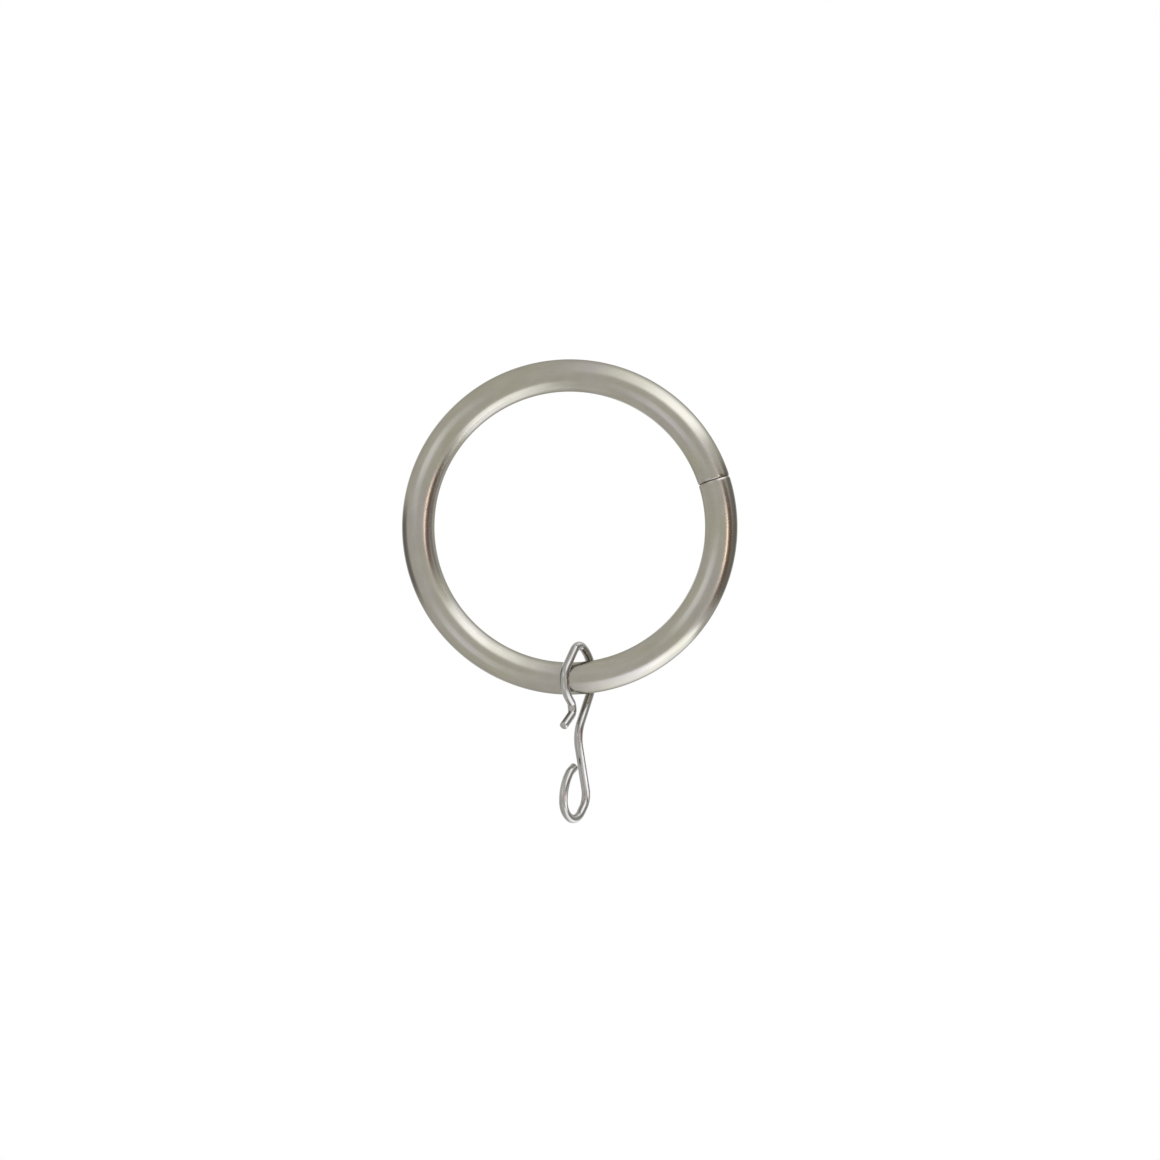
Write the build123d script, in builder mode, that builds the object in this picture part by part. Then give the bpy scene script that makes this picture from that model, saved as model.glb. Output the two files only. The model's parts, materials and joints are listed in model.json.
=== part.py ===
from build123d import *
import os
from math import cos, radians, sin

# Curtain ring: a hollow metal ring that rides on a pole, with a sprung wire hook hanging from it.
# The ring stands in the XZ plane with its centre at the origin, and the pole runs along Y.

# Ring: a thin-walled tube rolled to a circle, its two ends butted at a fine seam that is cut a little askew
ring_inside_diameter = 50.0
tube_diameter = 6.0
tube_wall = 0.7
seam_angle = 17.8
seam_skew = 4.5
seam_gap = 0.2
seam_edge_round = 0.2

# Hook: one length of round spring wire, bent in one plane
wire_diameter = 1.6
hook_angle = 3.2
hook_yaw = 32.0

# Bail of the hook, which straddles the tube: its crown stands a little behind the tube's middle
leg_clearance = 0.25
crown_clearance = 2.2
crown_offset = 0.35
rear_crown_turn = 29.0
front_crown_radius = 2.5
front_arm_lean = 41.0

# Rear leg, knee and shank of the hook
rear_leg_lean = 31.7
rear_leg_length = 5.5
knee_radius = 5.8
shank_lean = 16.3
shank_length = 8.1

# Eye at the foot of the shank
eye_inside_radius = 2.7
eye_heel_turn = 60.0
eye_run = 1.2
eye_side_radius = 7.2
eye_side_turn = 45.0
eye_top_radius = 2.2
eye_top_turn = 16.0
eye_gap = 1.55
eye_end_chamfer = 0.15

# Front leg of the hook: its throat steps in under the tube, and its tip flares out as a lead-in
front_bend_radius = 5.2
front_leg_lean = 46.0
front_leg_length = 0.85
throat_bend_radius = 1.2
throat_lean = 14.0
throat_length = 0.6
tip_flare = 53.0
tip_length = 3.5
tip_round = 0.5

# Sizes that follow from the ones above
tube_radius = tube_diameter / 2
wire_radius = wire_diameter / 2
ring_radius = ring_inside_diameter / 2 + tube_radius
eye_radius = eye_inside_radius + wire_radius

# The bail's two halves meet level at the crown, clear of the tube, and are plumb beside the tube's middle
crown_height = tube_radius + crown_clearance + wire_radius
leg_reach = (tube_radius + leg_clearance + wire_radius) / cos(radians(hook_yaw))

# Rear half of the bail: a crown arc and a side arc, whose radii fill its reach and height
rear_reach = leg_reach - crown_offset
rear_sin = sin(radians(rear_crown_turn))
rear_cos = cos(radians(rear_crown_turn))
rear_divisor = rear_sin * rear_cos - (1 - rear_cos) * (1 - rear_sin)
rear_crown_radius = (rear_reach * rear_cos - crown_height * (1 - rear_sin)) / rear_divisor
rear_side_radius = (crown_height * rear_sin - rear_reach * (1 - rear_cos)) / rear_divisor
rear_side_turn = 90 - rear_crown_turn + rear_leg_lean

# Front half of the bail: past its crown arc, a straight arm and a shoulder arc fill its reach and height
arm_sin = sin(radians(front_arm_lean))
arm_cos = cos(radians(front_arm_lean))
arm_reach = leg_reach + crown_offset - front_crown_radius * arm_cos
arm_height = crown_height - front_crown_radius * (1 - arm_sin)
arm_divisor = arm_sin * arm_sin - (1 - arm_cos) * arm_cos
front_arm_length = (arm_reach * arm_sin - arm_height * (1 - arm_cos)) / arm_divisor
shoulder_radius = (arm_height * arm_sin - arm_reach * arm_cos) / arm_divisor

# Where the hook hangs on the tube's centreline, and the upright plane that its wire lies in
hang_point = Vector(
    ring_radius * sin(radians(hook_angle)),
    0,
    -ring_radius * cos(radians(hook_angle)),
)
hook_plane = Plane(
    origin=hang_point,
    x_dir=(sin(radians(hook_yaw)), cos(radians(hook_yaw)), 0),
    z_dir=(cos(radians(hook_yaw)), -sin(radians(hook_yaw)), 0),
)

# The seam's plane holds the line from the ring's centre to the seam, and is turned about it by the skew
seam_plane = Plane.XY.rotated((0, -seam_angle, 0)).rotated((-seam_skew, 0, 0))

# Ring
with BuildPart() as ring_tube:
    with BuildSketch(Plane.XY):
        with Locations((ring_radius, 0)):
            Circle(tube_radius)
            Circle(tube_radius - tube_wall, mode=Mode.SUBTRACT)
    revolve(axis=Axis.Y)

    # A thin disc across the tube parts its two ends
    with BuildSketch(seam_plane):
        with Locations((ring_radius, 0)):
            Circle(tube_diameter)
    extrude(amount=seam_gap / 2, both=True, mode=Mode.SUBTRACT)
    tube_ends = ring_tube.faces().filter_by(GeomType.PLANE)
    end_rims = [tube_end.outer_wire().edges() for tube_end in tube_ends]
    fillet(end_rims, seam_edge_round)
ring_tube.part.label = "ring_tube"

# Hook
with BuildPart() as wire_hook:
    with BuildLine(hook_plane) as wire_line:
        crown = (crown_offset, crown_height)
        rear_crown = JernArc(crown, (1, 0), rear_crown_radius, -rear_crown_turn)
        rear_side = JernArc(rear_crown @ 1, rear_crown % 1, rear_side_radius, -rear_side_turn)
        rear_leg = PolarLine(rear_side @ 1, rear_leg_length, direction=rear_side % 1)
        knee = JernArc(rear_leg @ 1, rear_leg % 1, knee_radius, rear_leg_lean + shank_lean)
        shank = PolarLine(knee @ 1, shank_length, direction=knee % 1)
        eye_heel = JernArc(shank @ 1, shank % 1, eye_radius, -eye_heel_turn)
        eye_bottom = PolarLine(eye_heel @ 1, eye_run, direction=eye_heel % 1)
        eye_toe = JernArc(eye_bottom @ 1, eye_bottom % 1, eye_radius, eye_heel_turn - shank_lean - 180)
        eye_side = JernArc(eye_toe @ 1, eye_toe % 1, eye_side_radius, -eye_side_turn)
        eye_top = JernArc(eye_side @ 1, eye_side % 1, eye_top_radius, -eye_top_turn)

        # The eye's cut end stops short of the shank by the gap
        towards_shank = (shank % 1).rotate(Axis((0, 0, 0), hook_plane.z_dir), 90)
        end_heading = eye_top % 1
        square_on = end_heading.dot(towards_shank)
        end_corner = wire_radius * abs(end_heading.dot(shank % 1))
        room = (shank @ 1 - eye_top @ 1).dot(towards_shank) - wire_radius - end_corner - eye_gap
        eye_end = PolarLine(eye_top @ 1, room / square_on, direction=end_heading)

        front_crown = JernArc(crown, (-1, 0), front_crown_radius, 90 - front_arm_lean)
        front_arm = PolarLine(front_crown @ 1, front_arm_length, direction=front_crown % 1)
        shoulder = JernArc(front_arm @ 1, front_arm % 1, shoulder_radius, front_arm_lean)
        front_bend = JernArc(shoulder @ 1, shoulder % 1, front_bend_radius, front_leg_lean)
        front_leg = PolarLine(front_bend @ 1, front_leg_length, direction=front_bend % 1)
        throat_turn = throat_lean - front_leg_lean
        throat_top = JernArc(front_leg @ 1, front_leg % 1, throat_bend_radius, throat_turn)
        throat = PolarLine(throat_top @ 1, throat_length, direction=throat_top % 1)
        flare = JernArc(throat @ 1, throat % 1, throat_bend_radius, -throat_lean - tip_flare)
        tip = PolarLine(flare @ 1, tip_length, direction=flare % 1)
    wire_path = wire_line.wire()
    with BuildSketch(wire_path ^ 0):
        Circle(wire_radius)
    sweep(path=wire_path)
    cut_ends = wire_hook.faces().filter_by(GeomType.PLANE)
    fillet(cut_ends.sort_by_distance(tip @ 1)[0].edges(), tip_round)
    chamfer(cut_ends.sort_by_distance(eye_end @ 1)[0].edges(), eye_end_chamfer)
wire_hook.part.label = "wire_hook"

os.makedirs("parts", exist_ok=True)
export_step(ring_tube.part, "parts/ring_tube.step")
export_step(wire_hook.part, "parts/wire_hook.step")
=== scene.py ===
import json
from math import ceil, cos, pi, radians, sin, tan

import bpy
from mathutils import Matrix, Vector


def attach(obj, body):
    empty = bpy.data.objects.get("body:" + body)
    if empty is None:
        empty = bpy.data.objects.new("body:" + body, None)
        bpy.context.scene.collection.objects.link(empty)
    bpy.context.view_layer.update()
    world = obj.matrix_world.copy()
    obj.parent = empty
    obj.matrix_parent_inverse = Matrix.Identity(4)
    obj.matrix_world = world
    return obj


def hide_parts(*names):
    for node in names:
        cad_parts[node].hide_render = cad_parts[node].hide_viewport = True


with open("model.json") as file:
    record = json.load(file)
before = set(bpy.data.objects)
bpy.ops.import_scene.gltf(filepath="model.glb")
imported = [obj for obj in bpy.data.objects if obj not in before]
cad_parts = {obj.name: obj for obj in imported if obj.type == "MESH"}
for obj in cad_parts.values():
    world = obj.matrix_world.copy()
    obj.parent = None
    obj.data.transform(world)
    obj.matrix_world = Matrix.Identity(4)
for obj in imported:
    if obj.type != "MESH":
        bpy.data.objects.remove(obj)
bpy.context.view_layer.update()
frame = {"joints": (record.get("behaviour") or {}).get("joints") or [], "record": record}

MM = 0.001
UP = Vector((0, 0, 1))
POLE_WAY = Vector((0, 1, 0))

# Places and sizes that the frame gives
mounts = {mount["name"]: mount for mount in frame["record"]["mounts"]}
hang_point = Vector(frame["joints"][0]["pos_m"])
ring_radius = hang_point.length
tube_radius = ring_radius - mounts["pole_opening"]["dims"]["r_mm"] * MM
eye_inside_radius = mounts["hook_eye"]["dims"]["r_mm"] * MM
hook_normal = Vector(mounts["hook_eye"]["axis"])
hook_across = UP.cross(hook_normal)

# Ring: its wall, and its seam, whose rims roll in by a depth over a run
tube_wall = 0.7 * MM
seam_angle = radians(17.8)
seam_skew = radians(4.5)
seam_gap = 0.08 * MM
seam_edge_depth = 0.2 * MM
seam_edge_run = 0.5 * MM

# Bail of the hook, with its turns and leans in degrees, as in the rest of the hook
wire_radius = 0.8 * MM
leg_clearance = 0.25 * MM
crown_clearance = 2.2 * MM
crown_offset = 0.35 * MM
rear_crown_turn = 29.0
front_crown_radius = 2.5 * MM
front_arm_lean = 41.0

# Rear leg, knee and shank of the hook
rear_leg_lean = 31.7
rear_leg_length = 5.5 * MM
knee_radius = 5.8 * MM
shank_lean = 16.3
shank_length = 8.1 * MM

# Eye at the foot of the shank
eye_heel_turn = 60.0
eye_run = 1.2 * MM
eye_side_radius = 7.2 * MM
eye_side_turn = 45.0
eye_top_radius = 2.2 * MM
eye_top_turn = 16.0
eye_gap = 1.55 * MM
eye_end_chamfer = 0.15 * MM

# Front leg, throat and tip of the hook
front_bend_radius = 5.2 * MM
front_leg_lean = 46.0
front_leg_length = 0.85 * MM
throat_bend_radius = 1.2 * MM
throat_lean = 14.0
throat_length = 0.6 * MM
tip_flare = 53.0
tip_length = 3.5 * MM
tip_round = 0.5 * MM

# Sizes that follow from the ones above, where the hook's turn about the upright has the cosine yaw_cos
yaw_cos = hook_normal.x
leg_reach = (tube_radius + leg_clearance + wire_radius) / yaw_cos
crown_height = tube_radius + crown_clearance + wire_radius
eye_radius = eye_inside_radius + wire_radius

# Fineness of the meshes
RING_STEPS = 720
RING_INSIDE_STEPS = 240
RING_SIDES = 64
WIRE_SIDES = 48
WIRE_STEP = 0.25 * MM
BEND_STEP = 3.0
ROUND_STEPS = 6
SHARP_ANGLE = radians(40)
PANEL_STEPS = 24
FLOOR_SIDES = 96

# Where a point lies on its tube as if the tube were straight, in mm: along it, and in its section
PLACE = "tube_place"

# Where a point lies on its panel, as shares of the panel's turn and of its way from near to far
SHARE = "share"

# Where the clouds of the ring's finish fall along its tube
CLOUD_SHIFT = 154.7

# The values that nearly all of a noise lies between
NOISE_LOW = 0.3
NOISE_HIGH = 0.7

# The photograph's frame: its width where the ring stands, and where its middle lies in the ring's plane
FRAME_WIDTH = 0.2144
FRAME_MIDDLE = Vector((0.00189, 0, -0.0098))
CAMERA_DISTANCE = 0.8
SENSOR_WIDTH = 36.0

# Colours of the light
WHITE = (1, 1, 1, 1)
PLAIN = (1.0, 1.0, 1.0)
COOL = (0.968, 0.99, 1.105)
WARM = (1.0, 0.79, 0.755)
BROWN = (1.0, 0.66, 0.52)
GREY = (1.0, 0.98, 1.02)

# How far the panels stand from the ring's centre
FURTHEST = 1.1
FAR = 1.0
NEAR = 0.3
NEARER = 0.075
NEAREST = 0.04

# Turns and glows that two panels share
LOWER_TURNS = (267, 322)
LOWER_GLOW = 2.65
FLAG_TURNS = (-32, 24)
FLAG_GLOW = 0.42

# Half band at the ring's centre
BAND_RADIUS = 5.0 * MM
BAND_STEP = 0.1 * MM
BAND_TURNS = (-14, 194)
BAND_AWAYS = (61, 112)
BAND_FADE = 0.05

# Floor
FLOOR_DROP = 1.1
FLOOR_RADIUS = 3.0
FLOOR_COLOUR = (0.85, 0.85, 0.84, 1)


def heading_vector(heading):
    return Vector((cos(heading), sin(heading)))


def follow(start, bends):
    """Steps (point, heading) along a bent wire.

    A bend is (radius, turn in degrees), or (length, 0) for a straight run.
    """
    point, heading = start
    steps = [(point.copy(), heading)]
    for size, turn in bends:
        count = ceil(abs(turn) / BEND_STEP) if turn else ceil(size / WIRE_STEP)
        half = radians(turn) / count / 2
        stride = 2 * size * sin(abs(half)) if turn else size / count
        for _ in range(count):
            point = point + stride * heading_vector(heading + half)
            heading += 2 * half
            steps.append((point.copy(), heading))
    return steps


def rear_bail_radii():
    """Radii of the rear crown arc and side arc, which fill the bail's reach and height."""
    turn_sin = sin(radians(rear_crown_turn))
    turn_cos = cos(radians(rear_crown_turn))
    reach = leg_reach - crown_offset
    divisor = turn_sin * turn_cos - (1 - turn_cos) * (1 - turn_sin)
    crown_radius = (reach * turn_cos - crown_height * (1 - turn_sin)) / divisor
    side_radius = (crown_height * turn_sin - reach * (1 - turn_cos)) / divisor
    return crown_radius, side_radius


def front_bail_sizes():
    """Arm length and shoulder radius, which fill the reach and height past the front crown arc."""
    lean_sin = sin(radians(front_arm_lean))
    lean_cos = cos(radians(front_arm_lean))
    reach = leg_reach + crown_offset - front_crown_radius * lean_cos
    height = crown_height - front_crown_radius * (1 - lean_sin)
    divisor = lean_sin * lean_sin - (1 - lean_cos) * lean_cos
    arm_length = (reach * lean_sin - height * (1 - lean_cos)) / divisor
    shoulder_radius = (height * lean_sin - reach * lean_cos) / divisor
    return arm_length, shoulder_radius


def eye_end_length(shank_foot, eye_top):
    """Length of the eye's straight end, up to its chamfer. It stops short of the shank by the gap."""
    foot, shank_heading = shank_foot
    top, end_heading = eye_top
    along_shank = heading_vector(shank_heading)
    towards_shank = heading_vector(shank_heading + pi / 2)
    end_way = heading_vector(end_heading)
    end_corner = wire_radius * abs(end_way.dot(along_shank))
    room = (foot - top).dot(towards_shank) - wire_radius - end_corner - eye_gap
    return room / end_way.dot(towards_shank) - eye_end_chamfer


def end_steps(step, size, count):
    """Steps (point, heading, radius) of a wire's end beyond a step.

    Its edge is rounded by that size, or chamfered if the count is 1.
    """
    point, heading = step
    turns = [pi / 2 * (k + 1) / count for k in range(count)]
    return [
        (point + size * sin(a) * heading_vector(heading), heading, wire_radius - size * (1 - cos(a)))
        for a in turns
    ]


def hook_steps():
    """Steps (point, heading, radius) of the hook's wire in its own plane.

    They go from the front tip to the eye's cut end.
    """
    rear_crown_radius, rear_side_radius = rear_bail_radii()
    front_arm_length, shoulder_radius = front_bail_sizes()
    crown = Vector((crown_offset, crown_height))
    rear = follow((crown, 0), [
        (rear_crown_radius, -rear_crown_turn),
        (rear_side_radius, rear_crown_turn - 90 - rear_leg_lean),
        (rear_leg_length, 0),
        (knee_radius, rear_leg_lean + shank_lean),
        (shank_length, 0),
    ])
    eye = follow(rear[-1], [
        (eye_radius, -eye_heel_turn),
        (eye_run, 0),
        (eye_radius, eye_heel_turn - shank_lean - 180),
        (eye_side_radius, -eye_side_turn),
        (eye_top_radius, -eye_top_turn),
    ])
    eye_end = follow(eye[-1], [(eye_end_length(rear[-1], eye[-1]), 0)])
    front = follow((crown, pi), [
        (front_crown_radius, 90 - front_arm_lean),
        (front_arm_length, 0),
        (shoulder_radius, front_arm_lean),
        (front_bend_radius, front_leg_lean),
        (front_leg_length, 0),
        (throat_bend_radius, throat_lean - front_leg_lean),
        (throat_length, 0),
        (throat_bend_radius, -throat_lean - tip_flare),
        (tip_length - tip_round, 0),
    ])
    rear = rear + eye[1:] + eye_end[1:]
    rear = [(*step, wire_radius) for step in rear] + end_steps(rear[-1], eye_end_chamfer, 1)
    front = [(*step, wire_radius) for step in front] + end_steps(front[-1], tip_round, ROUND_STEPS)
    return [(point, heading + pi, radius) for point, heading, radius in reversed(front[1:])] + rear


def ring_steps():
    """Steps (angle, radius) round the tube's wall as it is cut along the ring.

    They go out along the outside, and back along the inside.
    """
    half_gap = seam_gap / 2 / ring_radius
    start = seam_angle + half_gap
    end = seam_angle + 2 * pi - half_gap
    edge_angle = seam_edge_run / ring_radius
    edge = [
        (edge_angle * (1 - cos(a)), tube_radius - seam_edge_depth * (1 - sin(a)))
        for a in (pi / 2 * k / ROUND_STEPS for k in range(ROUND_STEPS + 1))
    ]
    body_start = start + edge_angle
    body_end = end - edge_angle
    body = [body_start + (body_end - body_start) * k / RING_STEPS for k in range(1, RING_STEPS)]
    inside = [end + (start - end) * k / RING_INSIDE_STEPS for k in range(RING_INSIDE_STEPS + 1)]
    steps = [(start + turn, radius) for turn, radius in edge]
    steps += [(angle, tube_radius) for angle in body]
    steps += [(end - turn, radius) for turn, radius in reversed(edge)]
    return steps + [(angle, tube_radius - tube_wall) for angle in inside]


def new_piece(name, points, faces, attribute, values):
    """A mesh object whose points each carry a vector of that attribute."""
    mesh = bpy.data.meshes.new(name)
    mesh.from_pydata(points, [], faces)
    held = mesh.attributes.new(attribute, "FLOAT_VECTOR", "POINT")
    for item, value in zip(held.data, values):
        item.vector = value
    piece = bpy.data.objects.new(name, mesh)
    bpy.context.scene.collection.objects.link(piece)
    return piece


def tube_piece(name, sections, sides, closed):
    """A tube through sections (centre, side, binormal, radius, length along).

    It closes on its first section, or has flat ends.
    """
    corners = [(cos(2 * pi * k / sides), sin(2 * pi * k / sides)) for k in range(sides)]
    points = []
    places = []
    for centre, side, binormal, radius, along in sections:
        points += [centre + radius * (c * side + s * binormal) for c, s in corners]
        places += [(along / MM, radius * c / MM, radius * s / MM) for c, s in corners]
    count = len(sections)
    faces = [
        (i * sides + k, i * sides + (k + 1) % sides, j * sides + (k + 1) % sides, j * sides + k)
        for i, j in ((i, (i + 1) % count) for i in range(count if closed else count - 1))
        for k in range(sides)
    ]
    if not closed:
        for first, flip in ((0, True), ((count - 1) * sides, False)):
            middle = len(points)
            centre, _, _, _, along = sections[0 if flip else -1]
            points.append(centre)
            places.append((along / MM, 0, 0))
            rim = [(first + k, first + (k + 1) % sides) for k in range(sides)]
            faces += [(b, a, middle) if flip else (a, b, middle) for a, b in rim]
    piece = new_piece(name, points, faces, PLACE, places)
    piece.data.shade_smooth()
    piece.data.set_sharp_from_angle(angle=SHARP_ANGLE)
    return piece


def ring_body():
    sections = []
    for angle, radius in ring_steps():
        outwards = Vector((cos(angle), 0, sin(angle)))
        onwards = Vector((-sin(angle), 0, cos(angle)))
        askew = POLE_WAY - tan(seam_skew) * onwards
        along = ring_radius * (angle - seam_angle)
        sections.append((ring_radius * outwards, outwards, askew, radius, along))
    piece = tube_piece("ring_body", sections, RING_SIDES, True)
    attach(piece, "ring")
    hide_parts("ring_tube")
    piece.data.materials.append(satin_nickel())


def hook_wire():
    sections = []
    along = 0.0
    last = None
    for point, heading, radius in hook_steps():
        centre = hang_point + point.x * hook_across + point.y * UP
        inwards = heading_vector(heading + pi / 2)
        side = inwards.x * hook_across + inwards.y * UP
        along += (centre - last).length if last else 0.0
        last = centre
        sections.append((centre, side, hook_normal, radius, along))
    piece = tube_piece("hook_wire", sections, WIRE_SIDES, False)
    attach(piece, "hook")
    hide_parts("wire_hook")
    piece.data.materials.append(bright_wire())


def feed(tree, socket, value):
    """Link an output to a socket, or set the socket to a value."""
    if isinstance(value, bpy.types.NodeSocket):
        tree.links.new(value, socket)
    else:
        socket.default_value = value


def add(tree, kind, inputs=None, **settings):
    """A new node with those settings, and with inputs that are values or other nodes' outputs."""
    node = tree.nodes.new(kind)
    for key, value in settings.items():
        setattr(node, key, value)
    for key, value in (inputs or {}).items():
        feed(tree, node.inputs[key], value)
    return node


def new_material(name):
    material = bpy.data.materials.new(name)
    material.use_nodes = True
    material.node_tree.nodes.clear()
    return material, material.node_tree


def tube_noise(tree, along, across, detail, roughness, shift=0.0):
    """Noise over a tube, with that many features for each mm along it and across it.

    The shift moves it along the tube.
    """
    place = add(tree, "ShaderNodeAttribute", attribute_name=PLACE)
    scaled = add(tree, "ShaderNodeMapping", {
        "Vector": place.outputs["Vector"],
        "Scale": (along, across, across),
        "Location": (shift, 0, 0),
    })
    noise = add(tree, "ShaderNodeTexNoise", {
        "Vector": scaled.outputs["Vector"],
        "Scale": 1.0,
        "Detail": detail,
        "Roughness": roughness,
    })
    return noise.outputs["Fac"]


def spread(tree, noise, low, high):
    """A noise spread over a range."""
    ranged = add(tree, "ShaderNodeMapRange", {
        "Value": noise,
        "From Min": NOISE_LOW,
        "From Max": NOISE_HIGH,
        "To Min": low,
        "To Max": high,
    })
    return ranged.outputs["Result"]


def blend(tree, share, first, second):
    """A colour between two others, by a share."""
    mix = add(tree, "ShaderNodeMix", {"Factor": share}, data_type="RGBA")
    sockets = [socket for socket in mix.inputs if socket.type == "RGBA"]
    for socket, colour in zip(sockets, (first, second)):
        feed(tree, socket, colour)
    return next(socket for socket in mix.outputs if socket.type == "RGBA")


def join(tree, operation, first, second):
    return add(tree, "ShaderNodeMath", {0: first, 1: second}, operation=operation).outputs[0]


def bump(tree, height, depth, under=None):
    """A bump of that depth in metres, over another one."""
    inputs = {"Height": height, "Strength": 1.0, "Distance": depth}
    if under:
        inputs["Normal"] = under
    return add(tree, "ShaderNodeBump", inputs).outputs["Normal"]


def metal(tree, colour, roughness, normal, edge_tint):
    surface = add(tree, "ShaderNodeBsdfPrincipled", {
        "Base Color": colour,
        "Metallic": 1.0,
        "Roughness": roughness,
        "Normal": normal,
        "Specular Tint": edge_tint,
    })
    add(tree, "ShaderNodeOutputMaterial", {"Surface": surface.outputs["BSDF"]})


def satin_nickel():
    """Satin plating with cloudy tints, paler patches, fine lines along the tube and a fine grain."""
    olive = (0.304, 0.293, 0.224, 1)
    mauve = (0.307, 0.286, 0.256, 1)
    pale = (0.387, 0.368, 0.308, 1)
    edge_tint = (0.6, 0.6, 0.58, 1)
    line_depth = 0.001 * MM
    grain_depth = 0.0005 * MM
    material, tree = new_material("satin_nickel_plate")
    clouds = tube_noise(tree, along=0.10, across=0.25, detail=3.0, roughness=0.5, shift=CLOUD_SHIFT)
    lines = tube_noise(tree, along=0.25, across=14.0, detail=4.0, roughness=0.6)
    grain = tube_noise(tree, along=9.0, across=12.0, detail=2.0, roughness=0.6)
    patches = tube_noise(tree, along=0.22, across=0.45, detail=4.0, roughness=0.6)
    plate = blend(tree, spread(tree, clouds, low=-0.2, high=1.2), olive, mauve)
    colour = blend(tree, spread(tree, patches, low=0.0, high=0.5), plate, pale)
    cloud_roughness = spread(tree, clouds, low=0.20, high=0.25)
    line_roughness = spread(tree, lines, low=-0.03, high=0.03)
    roughness = join(tree, "ADD", cloud_roughness, line_roughness)
    normal = bump(tree, grain, grain_depth, bump(tree, lines, line_depth))
    metal(tree, colour, roughness, normal, edge_tint)
    return material


def bright_wire():
    """Bright plating with cloudy tints and fine drawn lines along the wire."""
    light = (0.355, 0.346, 0.320, 1)
    dark = (0.283, 0.271, 0.245, 1)
    edge_tint = (1, 1, 1, 1)
    line_depth = 0.002 * MM
    material, tree = new_material("bright_wire_plate")
    clouds = tube_noise(tree, along=0.20, across=0.8, detail=3.0, roughness=0.5)
    lines = tube_noise(tree, along=0.12, across=16.0, detail=4.0, roughness=0.6)
    colour = blend(tree, spread(tree, clouds, low=0.0, high=1.0), light, dark)
    cloud_roughness = spread(tree, clouds, low=0.16, high=0.22)
    line_roughness = spread(tree, lines, low=-0.02, high=0.03)
    roughness = join(tree, "ADD", cloud_roughness, line_roughness)
    normal = bump(tree, lines, line_depth)
    metal(tree, colour, roughness, normal, edge_tint)
    return material


def from_camera(turn, away):
    """A direction from the ring's centre, by two angles in degrees.

    Away is the angle from the way to the camera, and turn goes round that way from the right by the top.
    """
    t = radians(turn)
    a = radians(away)
    return Vector((sin(a) * cos(t), -cos(a), sin(a) * sin(t)))


def panel(name, turns, aways, distance, glow, tint, soft, lean=0):
    """A glowing part of a dome round the ring.

    It is softened over shares of it at its low turn, high turn, near side and far side. It leans by that
    many degrees further away at its high turn than at its low one.
    """
    low_turn, high_turn = turns
    near, far = aways
    steps = [k / PANEL_STEPS for k in range(PANEL_STEPS + 1)]
    points = []
    shares = []
    for i in steps:
        for j in steps:
            turn = low_turn + (high_turn - low_turn) * i
            away = near + (far - near) * j + lean * (i - 0.5)
            points.append(distance * from_camera(turn, away))
            shares.append((i, j, 0))
    row = len(steps)
    faces = [
        (i * row + j, i * row + j + 1, (i + 1) * row + j + 1, (i + 1) * row + j)
        for i in range(PANEL_STEPS)
        for j in range(PANEL_STEPS)
    ]
    card = new_piece(name, points, faces, SHARE, shares)
    card.data.materials.append(glow_material(name, glow, tint, soft))
    card.visible_camera = False
    card.visible_shadow = False


def glow_material(name, glow, tint, soft):
    """An even glow that fades to clear at each side that is soft."""
    material, tree = new_material(name)
    share = add(tree, "ShaderNodeAttribute", attribute_name=SHARE)
    split = add(tree, "ShaderNodeSeparateXYZ", {"Vector": share.outputs["Vector"]})
    low_turn, high_turn, near, far = soft
    sides = [("X", 0, low_turn), ("X", 1, -high_turn), ("Y", 0, near), ("Y", 1, -far)]
    mask = None
    for axis, edge, width in sides:
        if not width:
            continue
        inputs = {"Value": split.outputs[axis], "From Min": edge, "From Max": edge + width}
        ramp = add(tree, "ShaderNodeMapRange", inputs, interpolation_type="SMOOTHSTEP")
        fade = ramp.outputs["Result"]
        mask = join(tree, "MULTIPLY", mask, fade) if mask else fade
    light = add(tree, "ShaderNodeEmission", {"Color": (*tint, 1), "Strength": glow}).outputs["Emission"]
    clear = add(tree, "ShaderNodeBsdfTransparent").outputs["BSDF"]
    mix = add(tree, "ShaderNodeMixShader", {"Fac": mask, 1: clear, 2: light})
    add(tree, "ShaderNodeOutputMaterial", {"Surface": mix.outputs["Shader"]})
    return material


def white_world():
    world = bpy.data.worlds.new("studio_white")
    bpy.context.scene.world = world
    world.use_nodes = True
    tree = world.node_tree
    tree.nodes.clear()
    sky = add(tree, "ShaderNodeBackground", {"Color": WHITE, "Strength": 1.0})
    add(tree, "ShaderNodeOutputWorld", {"Surface": sky.outputs["Background"]})


def pale_floor():
    """A floor well below the ring.

    It is plain white to the camera and in reflections, and pale to other light.
    """
    bpy.ops.mesh.primitive_circle_add(
        vertices=FLOOR_SIDES, radius=FLOOR_RADIUS, fill_type="NGON", location=(0, 0, -FLOOR_DROP)
    )
    floor = bpy.context.active_object
    floor.name = "floor"
    material, tree = new_material("floor_white")
    path = add(tree, "ShaderNodeLightPath").outputs
    looked_at = join(tree, "ADD", path["Is Camera Ray"], path["Is Glossy Ray"])
    seen = join(tree, "ADD", looked_at, path["Is Transmission Ray"])
    white = add(tree, "ShaderNodeEmission", {"Color": WHITE, "Strength": 1.0}).outputs["Emission"]
    matt = add(tree, "ShaderNodeBsdfDiffuse", {"Color": FLOOR_COLOUR}).outputs["BSDF"]
    mix = add(tree, "ShaderNodeMixShader", {"Fac": seen, 1: matt, 2: white})
    add(tree, "ShaderNodeOutputMaterial", {"Surface": mix.outputs["Shader"]})
    floor.data.materials.append(material)


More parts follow.
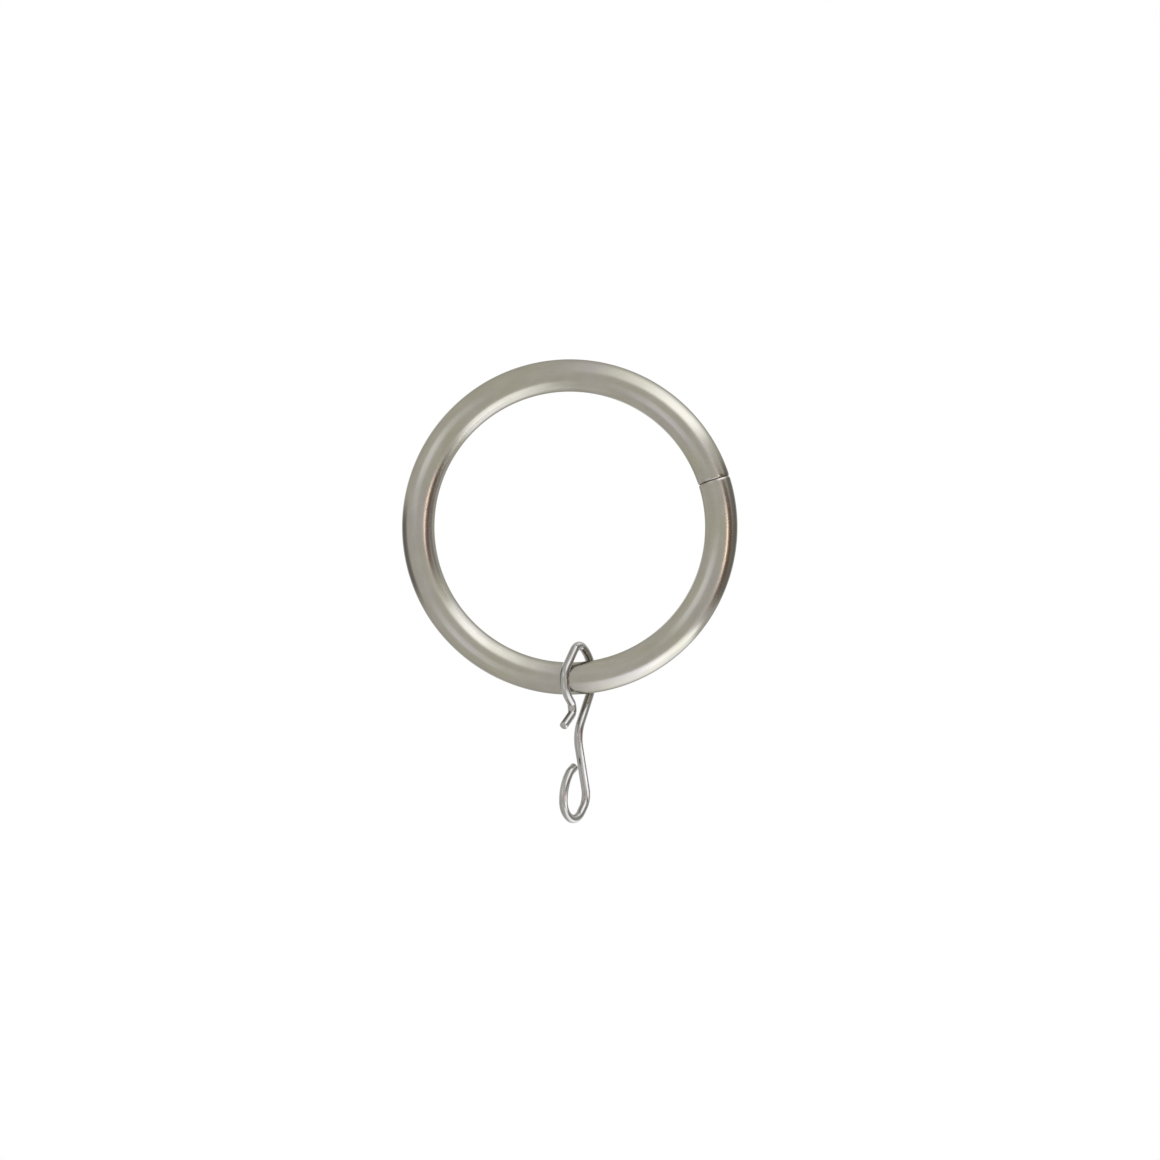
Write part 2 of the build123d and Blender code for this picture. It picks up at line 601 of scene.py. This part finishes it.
def softboxes():
    """Bright panels above and below the ring, and a card for the hook."""
    panel(
        "upper_softbox", turns=(31, 92), aways=(20, 150), distance=FAR,
        glow=3.1, tint=COOL, soft=(0.12, 0.8, 0.2, 0.55),
    )
    panel(
        "lower_softbox", turns=LOWER_TURNS, aways=(36, 149), distance=NEAR,
        glow=LOWER_GLOW, tint=COOL, soft=(0.55, 0.1, 0.12, 0.35), lean=16,
    )
    panel(
        "hook_card", turns=(290, 324), aways=(63, 90), distance=NEARER,
        glow=3.1, tint=COOL, soft=(0.3, 0.1, 0.3, 0.2), lean=16,
    )


def flags():
    """Dim panels that make the dark bands on the ring's right and left, and a warm strip beside them."""
    panel(
        "brown_flag", turns=FLAG_TURNS, aways=(53, 90), distance=FAR,
        glow=0.3, tint=BROWN, soft=(0.15, 0.15, 0.06, 0.25), lean=-22,
    )
    panel(
        "grey_flag", turns=FLAG_TURNS, aways=(80, 122), distance=FURTHEST,
        glow=FLAG_GLOW, tint=GREY, soft=(0.15, 0.15, 0.3, 0.25),
    )
    panel(
        "warm_strip", turns=(-23, 16), aways=(40, 52), distance=FAR,
        glow=5.2, tint=WARM, soft=(0.3, 0.35, 0.35, 0.35), lean=-16,
    )
    panel(
        "right_edge_flag", turns=(-31, 28), aways=(86, 104), distance=NEAREST,
        glow=0.36, tint=GREY, soft=(0.15, 0.15, 0.3, 0.2),
    )
    panel(
        "left_edge_flag", turns=(166, 212), aways=(84, 104), distance=NEAREST,
        glow=0.36, tint=GREY, soft=(0.3, 0.3, 0.3, 0.2),
    )


def cards():
    """Milder panels on the left, in front of the ring and behind it."""
    panel(
        "left_upper_card", turns=(130, 174), aways=(8, 66), distance=FAR,
        glow=1.65, tint=COOL, soft=(0.35, 0.35, 0.3, 0.3),
    )
    panel(
        "left_lower_card", turns=(206, 250), aways=(8, 66), distance=FAR,
        glow=1.55, tint=COOL, soft=(0.35, 0.35, 0.3, 0.3),
    )
    panel(
        "back_upper_card", turns=(116, 178), aways=(138, 172), distance=FAR,
        glow=1.9, tint=COOL, soft=(0.35, 0.35, 0.35, 0.3),
    )
    panel(
        "back_lower_card", turns=(204, 262), aways=(138, 172), distance=FAR,
        glow=1.9, tint=COOL, soft=(0.35, 0.35, 0.35, 0.3),
    )


def centre_band():
    """A half band that keeps the ring's far side out of its own reflections.

    It repeats the softboxes and the flag that it hides. The lower part of the ring sees it from inside.
    """
    panel(
        "band_white", turns=BAND_TURNS, aways=BAND_AWAYS, distance=BAND_RADIUS,
        glow=1.0, tint=PLAIN, soft=(0, 0, BAND_FADE, BAND_FADE),
    )
    panel(
        "band_inside", turns=(26, 92), aways=BAND_AWAYS, distance=BAND_RADIUS - BAND_STEP,
        glow=3.3, tint=COOL, soft=(0.12, 0.8, BAND_FADE, BAND_FADE),
    )
    panel(
        "band_outside", turns=[turn - 180 for turn in LOWER_TURNS], aways=BAND_AWAYS,
        distance=BAND_RADIUS + BAND_STEP,
        glow=LOWER_GLOW, tint=COOL, soft=(0.55, 0.1, BAND_FADE, BAND_FADE),
    )
    panel(
        "band_flag", turns=(FLAG_TURNS[0] + 180, BAND_TURNS[1]), aways=BAND_AWAYS,
        distance=BAND_RADIUS + BAND_STEP,
        glow=FLAG_GLOW, tint=GREY, soft=(0.2, 0, BAND_FADE, BAND_FADE),
    )


def photo_camera():
    """A level camera in front of the ring, with the photograph's frame."""
    data = bpy.data.cameras.new("photo_camera")
    data.sensor_width = SENSOR_WIDTH
    data.lens = SENSOR_WIDTH * CAMERA_DISTANCE / FRAME_WIDTH
    camera = bpy.data.objects.new("photo_camera", data)
    camera.location = FRAME_MIDDLE - CAMERA_DISTANCE * POLE_WAY
    camera.rotation_euler = (pi / 2, 0, 0)
    bpy.context.scene.collection.objects.link(camera)
    bpy.context.scene.camera = camera


ring_body()
hook_wire()
white_world()
pale_floor()
softboxes()
flags()
cards()
centre_band()
photo_camera()
bpy.context.scene.view_settings.view_transform = "Standard"
